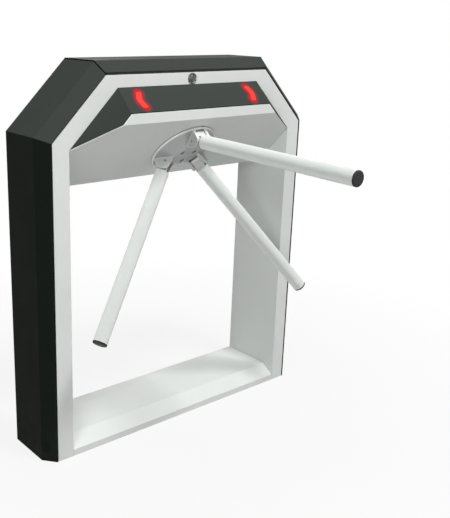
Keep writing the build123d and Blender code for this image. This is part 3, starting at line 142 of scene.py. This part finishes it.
# Materials
class Shader:
    """A material with its node tree, and short ways to add nodes to it."""

    def __init__(self, name):
        self.material = bpy.data.materials.new(name)
        self.material.use_nodes = True
        self.tree = self.material.node_tree
        self.main = self.tree.nodes["Principled BSDF"]
        coordinates = self.add("ShaderNodeTexCoord")
        self.place = coordinates.outputs["Object"]
        self.normal = coordinates.outputs["Normal"]

    def add(self, kind, **settings):
        """A new node of a kind, with its settings."""
        node = self.tree.nodes.new(kind)
        for key, value in settings.items():
            setattr(node, key, value)
        return node

    def link(self, source, target):
        """Links an output to an input."""
        self.tree.links.new(source, target)

    def feed(self, target, value):
        """Links a socket's value to an input, or sets the input to a fixed value."""
        if isinstance(value, bpy.types.NodeSocket):
            self.link(value, target)
        else:
            target.default_value = value

    def put(self, name, source):
        """Links an output to the main shader's input of that name."""
        self.link(source, self.main.inputs[name])

    def set(self, **values):
        """Sets the main shader's inputs to fixed values."""
        for key, value in values.items():
            self.main.inputs[key.replace("_", " ")].default_value = value

    def base(self):
        """The colour that the main shader has so far."""
        return self.main.inputs["Base Color"].links[0].from_socket

    def noise(self, scale, detail=3.0, stretch=None):
        """Noise as a value around one half, with its scale per metre, stretched along the axes if asked."""
        node = self.add("ShaderNodeTexNoise")
        node.inputs["Scale"].default_value = scale
        node.inputs["Detail"].default_value = detail
        node.inputs["Roughness"].default_value = 0.55
        source = self.place
        if stretch:
            mapping = self.add("ShaderNodeMapping")
            mapping.inputs["Scale"].default_value = stretch
            self.link(self.place, mapping.inputs["Vector"])
            source = mapping.outputs["Vector"]
        self.link(source, node.inputs["Vector"])
        return node.outputs["Fac"]

    def ramp(self, value, low, high, start=0.0, end=1.0):
        """Maps a value from low..high to start..end, clamped."""
        node = self.add("ShaderNodeMapRange")
        node.inputs["From Min"].default_value = low
        node.inputs["From Max"].default_value = high
        node.inputs["To Min"].default_value = start
        node.inputs["To Max"].default_value = end
        self.link(value, node.inputs["Value"])
        return node.outputs["Result"]

    def number(self, operation, first, second=0.0):
        """The result of an operation on numbers, each fixed or from a socket."""
        node = self.add("ShaderNodeMath", operation=operation)
        self.feed(node.inputs[0], first)
        self.feed(node.inputs[1], second)
        return node.outputs["Value"]

    def vector(self, operation, first, second=None, scale=None):
        """The result of an operation on vectors, fixed or from sockets: a number where it gives one."""
        node = self.add("ShaderNodeVectorMath", operation=operation)
        self.feed(node.inputs[0], first)
        if second is not None:
            self.feed(node.inputs[1], second)
        if scale is not None:
            self.feed(node.inputs["Scale"], scale)
        gives_number = operation in ("DOT_PRODUCT", "DISTANCE", "LENGTH")
        return node.outputs["Value" if gives_number else "Vector"]

    def mix(self, factor, first, second):
        """A colour between two colours, each fixed or from a socket."""
        node = self.add("ShaderNodeMix", data_type="RGBA")
        self.feed(node.inputs["Factor"], factor)
        for name, colour in (("A", first), ("B", second)):
            is_fixed = isinstance(colour, tuple)
            self.feed(node.inputs[name], (*colour, 1.0) if is_fixed else colour)
        return node.outputs["Result"]

    def height(self):
        """The height above the floor in metres."""
        return self.vector("DOT_PRODUCT", self.place, UP)

    def facing(self, direction):
        """How far the surface looks along a direction, from -1 to 1."""
        return self.vector("DOT_PRODUCT", self.normal, direction)

    def near(self, path):
        """The distance in metres to a line through the given points."""
        nearest = None
        for start, end in zip(path, path[1:]):
            along = end - start
            offset = self.vector("SUBTRACT", self.place, start)
            share = self.vector("DOT_PRODUCT", offset, along / along.length_squared)
            foot = self.vector("SCALE", along, scale=self.ramp(share, 0.0, 1.0))
            distance = self.vector("DISTANCE", offset, foot)
            nearest = distance if nearest is None else self.number("MINIMUM", nearest, distance)
        return nearest

    def rounded(self, radius, samples):
        """The surface's normal, over edges rounded by a radius."""
        bevel = self.add("ShaderNodeBevel", samples=samples)
        bevel.inputs["Radius"].default_value = radius
        return bevel.outputs["Normal"]

    def edges(self, width):
        """How close the surface is to a sharp edge, from 0 on open faces to 1 on the edge."""
        flat = self.add("ShaderNodeNewGeometry").outputs["True Normal"]
        agreement = self.vector("DOT_PRODUCT", self.rounded(width, samples=8), flat)
        return self.ramp(agreement, 0.995, 0.80)

    def bump(self, value, strength, depth, edge):
        """Bump from a value, with its depth in metres, over edges rounded by the radius edge."""
        node = self.add("ShaderNodeBump")
        node.inputs["Strength"].default_value = strength
        node.inputs["Distance"].default_value = depth
        self.link(value, node.inputs["Height"])
        self.link(self.rounded(edge, samples=6), node.inputs["Normal"])
        self.put("Normal", node.outputs["Normal"])


def shade(colour, factor):
    """A colour made darker or lighter by a factor."""
    return tuple(part * factor for part in colour)


def powder_coat(name, colour, rough, grain, dust, sheen=None, edge=SHEET_EDGE, full_sheen=0.55):
    """Powder coat: fine orange peel, faint patches, dirt low down, and, if a sheen colour is given, a
    painted sheen where it looks up, a painted reflection of overhead light.
    """
    shader = Shader(name)
    patches = shader.ramp(shader.noise(scale=5.0, detail=4.0), 0.3, 0.7)
    coat = shader.mix(patches, shade(colour, 0.975), shade(colour, 1.02))
    specks = shader.ramp(shader.noise(scale=420.0, detail=2.0), 0.62, 0.75, 0.0, 0.10)
    coat = shader.mix(specks, coat, shade(colour, 0.8))
    low = shader.ramp(shader.height(), 0.0, DIRT_HEIGHT, dust, 0.0)
    smudges = shader.ramp(shader.noise(scale=28.0, detail=5.0), 0.42, 0.7)
    coat = shader.mix(shader.number("MULTIPLY", low, smudges), coat, DIRT)
    # painted sheen: faces that look up are mixed towards a lighter colour, a painted reflection of overhead
    # light
    if sheen:
        coat = shader.mix(shader.ramp(shader.facing(UP), 0.05, full_sheen), coat, sheen)
    shader.put("Base Color", coat)
    streaks = shader.noise(scale=16.0, detail=5.0)
    shader.put("Roughness", shader.ramp(streaks, 0.3, 0.75, rough - 0.05, rough + 0.07))
    shader.bump(shader.noise(grain, detail=2.0), 0.11, 0.0006, edge)
    return shader


def metal(name, colour, rough, stretch, metallic=1.0, edge=METAL_EDGE, edge_highlight=None):
    """Metal with fine tool lines along one axis, faint stains and, if a colour is given, a painted highlight
    of that colour along its edges.
    """
    shader = Shader(name)
    lines = shader.noise(scale=260.0, stretch=stretch)
    stains = shader.ramp(shader.noise(scale=22.0, detail=5.0), 0.35, 0.72)
    base = shader.mix(stains, shade(colour, 0.88), colour)
    base = shader.mix(shader.ramp(lines, 0.35, 0.65, 0.0, 0.35), base, shade(colour, 0.82))
    # painted highlight: edges are mixed towards a lighter colour
    if edge_highlight:
        base = shader.mix(shader.edges(EDGE_HIGHLIGHT_WIDTH), base, edge_highlight)
    shader.put("Base Color", base)
    shader.put("Roughness", shader.ramp(lines, 0.3, 0.7, rough - 0.06, rough + 0.08))
    shader.set(Metallic=metallic)
    shader.bump(lines, 0.12, 0.0003, edge)
    return shader


def hub_alloy():
    """Satin alloy as cast, with a painted highlight: lighter on faces that look across the rotor's axis,
    lightest on faces that look outward.
    """
    shader = metal("hub_alloy", CAST_ALLOY, 0.40, (3.0, 1.0, 1.0), 0.4, CAST_EDGE, EDGE_HIGHLIGHT_ALLOY)
    axis = Vector(joints["rotor_spin"]["axis"])
    offset = shader.vector("SUBTRACT", shader.place, joints["rotor_spin"]["pos_m"])
    along = shader.vector("PROJECT", offset, axis)
    outward = shader.vector("NORMALIZE", shader.vector("SUBTRACT", offset, along))
    # painted highlight: faces that look outward and across the axis are mixed towards a lighter alloy colour
    outward_highlight = shader.ramp(shader.facing(outward), 0.35, 0.75)
    across_highlight = shader.ramp(shader.number("ABSOLUTE", shader.facing(axis)), 0.85, 0.35, 0.0, 0.4)
    painted_highlight = shader.number("MAXIMUM", across_highlight, outward_highlight)
    shader.put("Base Color", shader.mix(painted_highlight, shader.base(), HIGHLIGHT_ALLOY))
    return shader


def plastic(name, colour, rough, grain=900.0):
    """Moulded plastic with a fine spark texture and scuffs."""
    shader = Shader(name)
    scuffs = shader.ramp(shader.noise(scale=60.0, detail=6.0), 0.55, 0.8, 0.0, 0.5)
    scuffed = tuple(part * 1.5 + 0.02 for part in colour)
    shader.put("Base Color", shader.mix(scuffs, colour, scuffed))
    wear = shader.noise(scale=40.0, detail=4.0)
    shader.put("Roughness", shader.ramp(wear, 0.3, 0.7, rough - 0.08, rough + 0.1))
    shader.bump(shader.noise(grain, detail=2.0), 0.2, 0.0004, PLASTIC_EDGE)
    return shader


def circuit_board():
    """Green lacquer over a pattern of tracks."""
    shader = Shader("circuit_board")
    tracks = shader.add("ShaderNodeTexBrick")
    tracks.inputs["Scale"].default_value = 90.0
    tracks.inputs["Color1"].default_value = (*BOARD_LACQUER, 1.0)
    tracks.inputs["Color2"].default_value = (*BOARD_SHADE, 1.0)
    tracks.inputs["Mortar"].default_value = (*BOARD_TRACK, 1.0)
    shader.link(shader.place, tracks.inputs["Vector"])
    shader.put("Base Color", tracks.outputs["Color"])
    shader.put("Roughness", shader.ramp(shader.noise(scale=50.0), 0.3, 0.7, 0.3, 0.5))
    shader.bump(tracks.outputs["Fac"], 0.2, 0.0002, BOARD_EDGE)
    return shader


def lit_lens():
    """A lit red bar with fine prisms."""
    shader = Shader("lit_lens")
    prisms = shader.noise(scale=500.0, detail=1.0, stretch=(1.0, 6.0, 6.0))
    pale = shader.ramp(prisms, 0.35, 0.65)
    shader.put("Base Color", shader.mix(pale, LENS_DEEP, LENS_PALE))
    shader.put("Emission Color", shader.mix(pale, GLOW_DEEP, GLOW_PALE))
    shader.set(Roughness=0.4, Specular_IOR_Level=0.15, Emission_Strength=0.92)
    shader.bump(prisms, 0.15, 0.0003, LENS_EDGE)
    return shader


# Indicator bars, in metres: their width and middle line, and how far their light spreads over the hood
BAR_HALF_WIDTH = 0.00825
BAR_HALF_LENGTH = 0.0205
BAR_HALF_KNEE = 0.006
BAR_STEP_IN = 0.0045
BAR_STEP_OUT = 0.002475
GLOW_REACH = 0.014
UP_SLOPE = Vector((0, math.sqrt(0.5), math.sqrt(0.5)))


def bar_line(node):
    """The middle line of an indicator bar, from its lower end over the bent knee to its upper end."""
    low, high = (Vector(corner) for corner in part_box(node))
    middle = (low + high) / 2
    outward = Vector((math.copysign(1.0, middle.x), 0, 0))
    end = middle - outward * BAR_STEP_IN
    knee = middle + outward * BAR_STEP_OUT
    end_rise = UP_SLOPE * BAR_HALF_LENGTH
    knee_rise = UP_SLOPE * BAR_HALF_KNEE
    return [end - end_rise, knee - knee_rise, knee + knee_rise, end + end_rise]


def hood_paint():
    """The dark coat, with the red light that spreads round the lit bars and drowns the coat's own colour."""
    # the hood's coat gets the painted sheen where it looks up
    shader = powder_coat("hood_paint", DARK, 0.5, 900.0, 0.0, PAINTED_SHEEN, COVER_EDGE, full_sheen=0.72)
    shader.set(Specular_IOR_Level=0.01, Emission_Color=(*SPREAD_GLOW, 1.0))
    left = shader.near(bar_line("indicator_lens_left"))
    right = shader.near(bar_line("indicator_lens_right"))
    distance = shader.number("MINIMUM", left, right)
    fading = shader.ramp(distance, BAR_HALF_WIDTH, BAR_HALF_WIDTH + GLOW_REACH, 1.0, 0.0)
    spread = shader.number("POWER", fading, 2.0)
    shader.put("Emission Strength", shader.number("MULTIPLY", spread, 0.75))
    shader.put("Base Color", shader.mix(spread, shader.base(), SPREAD_COAT))
    return shader


# The finish of each material slot, and of the hood, which has its own
BY_SLOT = {
    "light_paint": powder_coat("light_paint", LIGHT, 0.46, 700.0, 0.05),
    # the dark paint gets a painted sheen where it looks up
    "dark_paint": powder_coat("dark_paint", DARK, 0.5, 900.0, 0.02, PAINTED_SHEEN, COVER_EDGE),
    "steel": powder_coat("primed_steel", PRIMER, 0.6, 500.0, 0.4),
    "zinc": metal("zinc_plate", ZINC, 0.64, (1.0, 1.0, 6.0)),
    "machined": metal("machined_steel", TURNED_STEEL, 0.30, (8.0, 1.0, 1.0)),
    "hub_alloy": hub_alloy(),
    "arm_tube": powder_coat("arm_paint", shade(LIGHT, 0.96), 0.55, 700.0, 0.0),
    "arm_cap": plastic("cap_nylon", NYLON, 0.5),
    "lens": lit_lens(),
    "lock": metal("chrome", CHROME, 0.12, (1.0, 1.0, 1.0)),
    "seal": plastic("seal_rubber", SEAL_RUBBER, 0.8, 300.0),
    "board": circuit_board(),
    "device": plastic("moulded_case", MOULDED_CASE, 0.5),
    "pinion": metal("brass", BRASS, 0.3, (1.0, 6.0, 1.0)),
}
BY_SLOT["light_paint"].set(Specular_IOR_Level=0.3)
BY_SLOT["dark_paint"].set(Specular_IOR_Level=0.01)
BY_SLOT["arm_tube"].set(Specular_IOR_Level=0.1, Diffuse_Roughness=1.0)
BY_SLOT["arm_cap"].set(Specular_IOR_Level=0.2)

for entry in frame["record"]["subparts"]:
    materials = nodes[entry["node"]].data.materials
    materials.clear()
    materials.append(BY_SLOT[entry["material_slot"]].material)
nodes["nose_hood"].data.materials[0] = hood_paint().material

# Small turned pieces, made of rings of points
RING_POINTS = 24


def ring(mesh, radius, height, corners=0):
    """Points round Z: a circle, or a polygon with that many corners and the radius as half its width."""
    points = []
    for count in range(RING_POINTS):
        angle = 2 * math.pi * count / RING_POINTS
        reach = radius
        if corners:
            step = 2 * math.pi / corners
            reach = radius / math.cos((angle % step) - step / 2)
        points.append(mesh.verts.new((reach * math.cos(angle), reach * math.sin(angle), height)))
    return points


def skin(mesh, rings):
    """Faces between each ring and the next."""
    for lower, upper in zip(rings, rings[1:]):
        for count in range(RING_POINTS):
            after = (count + 1) % RING_POINTS
            mesh.faces.new((lower[count], lower[after], upper[after], upper[count]))


def stand(mesh, first, place, normal):
    """Sets the points from the first on at a place, with their Z along a normal."""
    turn = Vector(normal).to_track_quat("Z", "Y").to_matrix().to_4x4()
    mesh.verts.ensure_lookup_table()
    bmesh.ops.transform(mesh, matrix=Matrix.Translation(place) @ turn, verts=mesh.verts[first:])


def finish_piece(mesh, name, body, slot):
    """Makes the mesh a piece that rides on a body and has a slot's finish."""
    data = bpy.data.meshes.new(name)
    bmesh.ops.recalc_face_normals(mesh, faces=mesh.faces)
    mesh.to_mesh(data)
    mesh.free()
    data.materials.append(BY_SLOT[slot].material)
    piece = bpy.data.objects.new(name, data)
    scene.collection.objects.link(piece)
    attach(piece, body)
    return piece


# Lock face, in metres: its lips are steps from the plug and from the rim, with heights as shares of the face
ROSETTE_FACE = 0.003
ROSETTE_PLAY = 0.0002
BARREL_RADIUS = 0.0095
BARREL_DEPTH = 0.019
INNER_LIP = ((0.0, 0.85), (0.0006, 1.0), (0.0012, 0.8), (0.0022, 0.3), (0.0036, 0.22))
OUTER_LIP = ((0.0028, 0.5), (0.0016, 0.95), (0.0010, 1.0), (0.0003, 0.7), (0.0, 0.2), (0.0, 0.0))


def add_lock_face():
    """The lock's body: a rosette with a dished ring round the plug, and the barrel behind the panel."""
    low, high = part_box("lock_body")
    plug_low, plug_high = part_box("lock_plug")
    rim = (high.x - low.x) / 2
    bore = (plug_high.x - plug_low.x) / 2 + ROSETTE_PLAY
    outline = [(bore, -BARREL_DEPTH)]
    outline += [(bore + step, share * ROSETTE_FACE) for step, share in INNER_LIP]
    outline += [(rim - step, share * ROSETTE_FACE) for step, share in OUTER_LIP]
    outline += [(BARREL_RADIUS, 0.0), (BARREL_RADIUS, -BARREL_DEPTH)]
    mesh = bmesh.new()
    rings = [ring(mesh, radius, height) for radius, height in outline]
    skin(mesh, rings + rings[:1])
    middle = (plug_low + plug_high) / 2
    stand(mesh, 0, (middle.x, low.y + ROSETTE_FACE, middle.z), FRONT)
    piece = finish_piece(mesh, "lock_rosette", "frame", "lock")
    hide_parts("lock_body")


add_lock_face()

# A screw head, from its foot over the dome into the socket: width and height by its radius, and corners
HEAD_OUTLINE = (
    (1.0, 0.0, 0),
    (1.0, 0.22, 0),
    (0.93, 0.42, 0),
    (0.74, 0.6, 0),
    (0.56, 0.66, 0),
    (0.36, 0.66, 6),
    (0.36, 0.24, 6),
)


def add_screws(name, body, places, normal, radius):
    """Button-head screws with a hexagon socket, at the places and their mirror images, as one piece."""
    mesh = bmesh.new()
    for side in (-1, 1):
        for x, y, z in places:
            first = len(mesh.verts)
            rings = [ring(mesh, width * radius, height * radius, corners)
                     for width, height, corners in HEAD_OUTLINE]
            skin(mesh, rings)
            mesh.faces.new(rings[-1])
            mesh.faces.new(list(reversed(rings[0])))
            stand(mesh, first, (side * x, y, z), normal)
    finish_piece(mesh, name, body, "zinc")


# Screws, in metres: the radius of their heads, and their places from the edges or middle of what they hold
REAR_SCREW = 0.0045
REAR_LEG_INSET = 0.022
REAR_LEG_HEIGHTS = (0.10, 0.39, 0.68)
REAR_TOP_OUT_AND_DOWN = ((0.33, 0.118), (0.09, 0.023), (0.20, 0.268))
HINGE_SCREW = 0.0032
HINGE_HALF_LENGTH = 0.0395
HINGE_SHEET = 0.002
FRAME_LEAF_PITCH = 0.028
FRAME_LEAF_RISE = 0.0075
LID_LEAF_HALF_PITCH = 0.007
LID_LEAF_FORWARD = 0.008
LID_LEAF_DROP = 0.0044
LID_LEAF_NORMAL = (0, 0.551, 0.834)
BOARD_SCREW = 0.003
BOARD_SHEET = 0.0016
BOARD_INSET_X = 0.016
BOARD_INSET_Z = 0.008


def add_rear_screws():
    """Screws down both legs of the rear panel, and over its upper part."""
    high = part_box("rear_ring_panel")[1]
    places = [(high.x - REAR_LEG_INSET, high.y, height) for height in REAR_LEG_HEIGHTS]
    places += [(out, high.y, high.z - down) for out, down in REAR_TOP_OUT_AND_DOWN]
    add_screws("rear_panel_screws", "frame", places, BACK, REAR_SCREW)


def add_hinge_screws():
    """Three screws in each frame leaf, and two in each lid leaf."""
    low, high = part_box("lid_hinge_frame_leaves")
    middle = high.x - HINGE_HALF_LENGTH
    places = [(middle + step, low.y + HINGE_SHEET, low.z + FRAME_LEAF_RISE)
              for step in (-FRAME_LEAF_PITCH, 0, FRAME_LEAF_PITCH)]
    add_screws("hinge_frame_screws", "frame", places, BACK, HINGE_SCREW)
    low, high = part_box("lid_hinge_lid_leaves")
    places = [(middle + step, low.y + LID_LEAF_FORWARD, high.z - LID_LEAF_DROP)
              for step in (-LID_LEAF_HALF_PITCH, LID_LEAF_HALF_PITCH)]
    add_screws("hinge_lid_screws", "lid", places, LID_LEAF_NORMAL, HINGE_SCREW)


def add_board_screws():
    """A screw in each corner of the control board."""
    low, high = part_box("control_board")
    places = [(high.x - BOARD_INSET_X, high.y - BOARD_SHEET, height)
              for height in (low.z + BOARD_INSET_Z, high.z - BOARD_INSET_Z)]
    add_screws("control_board_screws", "frame", places, FRONT, BOARD_SCREW)


add_rear_screws()
add_hinge_screws()
add_board_screws()

# Stage: pale floor, white surroundings and soft lamps, with sizes in metres
FLOOR_HALF = 12.0
SHADOW_RADIUS = 0.55
WHITE_RADIUS = 1.5
SHADOW_WHITE = 0.88
SKY_STRENGTH = 0.13
LAMP_AIM = Vector((0, 0, 0.6))


def seen_rays(tree):
    """A value that is 1 where the camera looks, also in a mirror or through glass, and 0 for other light."""
    path = tree.nodes.new("ShaderNodeLightPath")
    seen = path.outputs["Is Camera Ray"]
    for kind in ("Is Glossy Ray", "Is Transmission Ray"):
        either = tree.nodes.new("ShaderNodeMath")
        either.operation = "MAXIMUM"
        tree.links.new(seen, either.inputs[0])
        tree.links.new(path.outputs[kind], either.inputs[1])
        seen = either.outputs["Value"]
    return seen


def floor_material():
    """A pale floor that is seen as white, but keeps a little of the object's shadow near it."""
    shader = Shader("floor")
    patches = shader.ramp(shader.noise(scale=3.0), 0.3, 0.7)
    shader.put("Base Color", shader.mix(patches, FLOOR_DEEP, FLOOR_PALE))
    shader.set(Roughness=0.7)
    white = shader.add("ShaderNodeEmission")
    blend = shader.add("ShaderNodeMixShader")
    distance = shader.vector("LENGTH", shader.place)
    paler = shader.ramp(distance, SHADOW_RADIUS, WHITE_RADIUS, SHADOW_WHITE, 1.0)
    shader.link(shader.number("MULTIPLY", seen_rays(shader.tree), paler), blend.inputs["Fac"])
    shader.link(shader.main.outputs["BSDF"], blend.inputs[1])
    shader.link(white.outputs["Emission"], blend.inputs[2])
    shader.link(blend.outputs["Shader"], shader.tree.nodes["Material Output"].inputs["Surface"])
    return shader.material


def add_floor():
    """A wide square floor under the object."""
    mesh = bpy.data.meshes.new("floor")
    corners = [(x * FLOOR_HALF, y * FLOOR_HALF, 0) for x, y in ((-1, -1), (1, -1), (1, 1), (-1, 1))]
    mesh.from_pydata(corners, [], [(0, 1, 2, 3)])
    mesh.materials.append(floor_material())
    floor = bpy.data.objects.new("floor", mesh)
    scene.collection.objects.link(floor)


def add_world():
    """A weak sky that lights the object, seen as plain white."""
    world = bpy.data.worlds.new("surroundings")
    scene.world = world
    world.use_nodes = True
    tree = world.node_tree
    sky = tree.nodes["Background"]
    sky.inputs["Color"].default_value = (*SKY, 1.0)
    sky.inputs["Strength"].default_value = SKY_STRENGTH
    backdrop = tree.nodes.new("ShaderNodeBackground")
    backdrop.inputs["Color"].default_value = (*WHITE, 1.0)
    blend = tree.nodes.new("ShaderNodeMixShader")
    tree.links.new(seen_rays(tree), blend.inputs["Fac"])
    tree.links.new(sky.outputs["Background"], blend.inputs[1])
    tree.links.new(backdrop.outputs["Background"], blend.inputs[2])
    tree.links.new(blend.outputs["Shader"], tree.nodes["World Output"].inputs["Surface"])


def add_lamp(name, place, size, power):
    """A round soft lamp, aimed at the object, with its size in metres and its power in watts."""
    data = bpy.data.lights.new(name, "AREA")
    data.shape = "DISK"
    data.size = size
    data.energy = power
    lamp = bpy.data.objects.new(name, data)
    scene.collection.objects.link(lamp)
    lamp.location = place
    lamp.rotation_euler = (LAMP_AIM - Vector(place)).to_track_quat("-Z", "Y").to_euler()


add_floor()
add_world()
add_lamp("key", place=(0.5, -1.75, 4.2), size=1.1, power=146)
add_lamp("fill", place=(-3.1, -1.9, 2.1), size=1.4, power=51)
add_lamp("rear", place=(1.6, 3.6, 1.1), size=1.6, power=16)
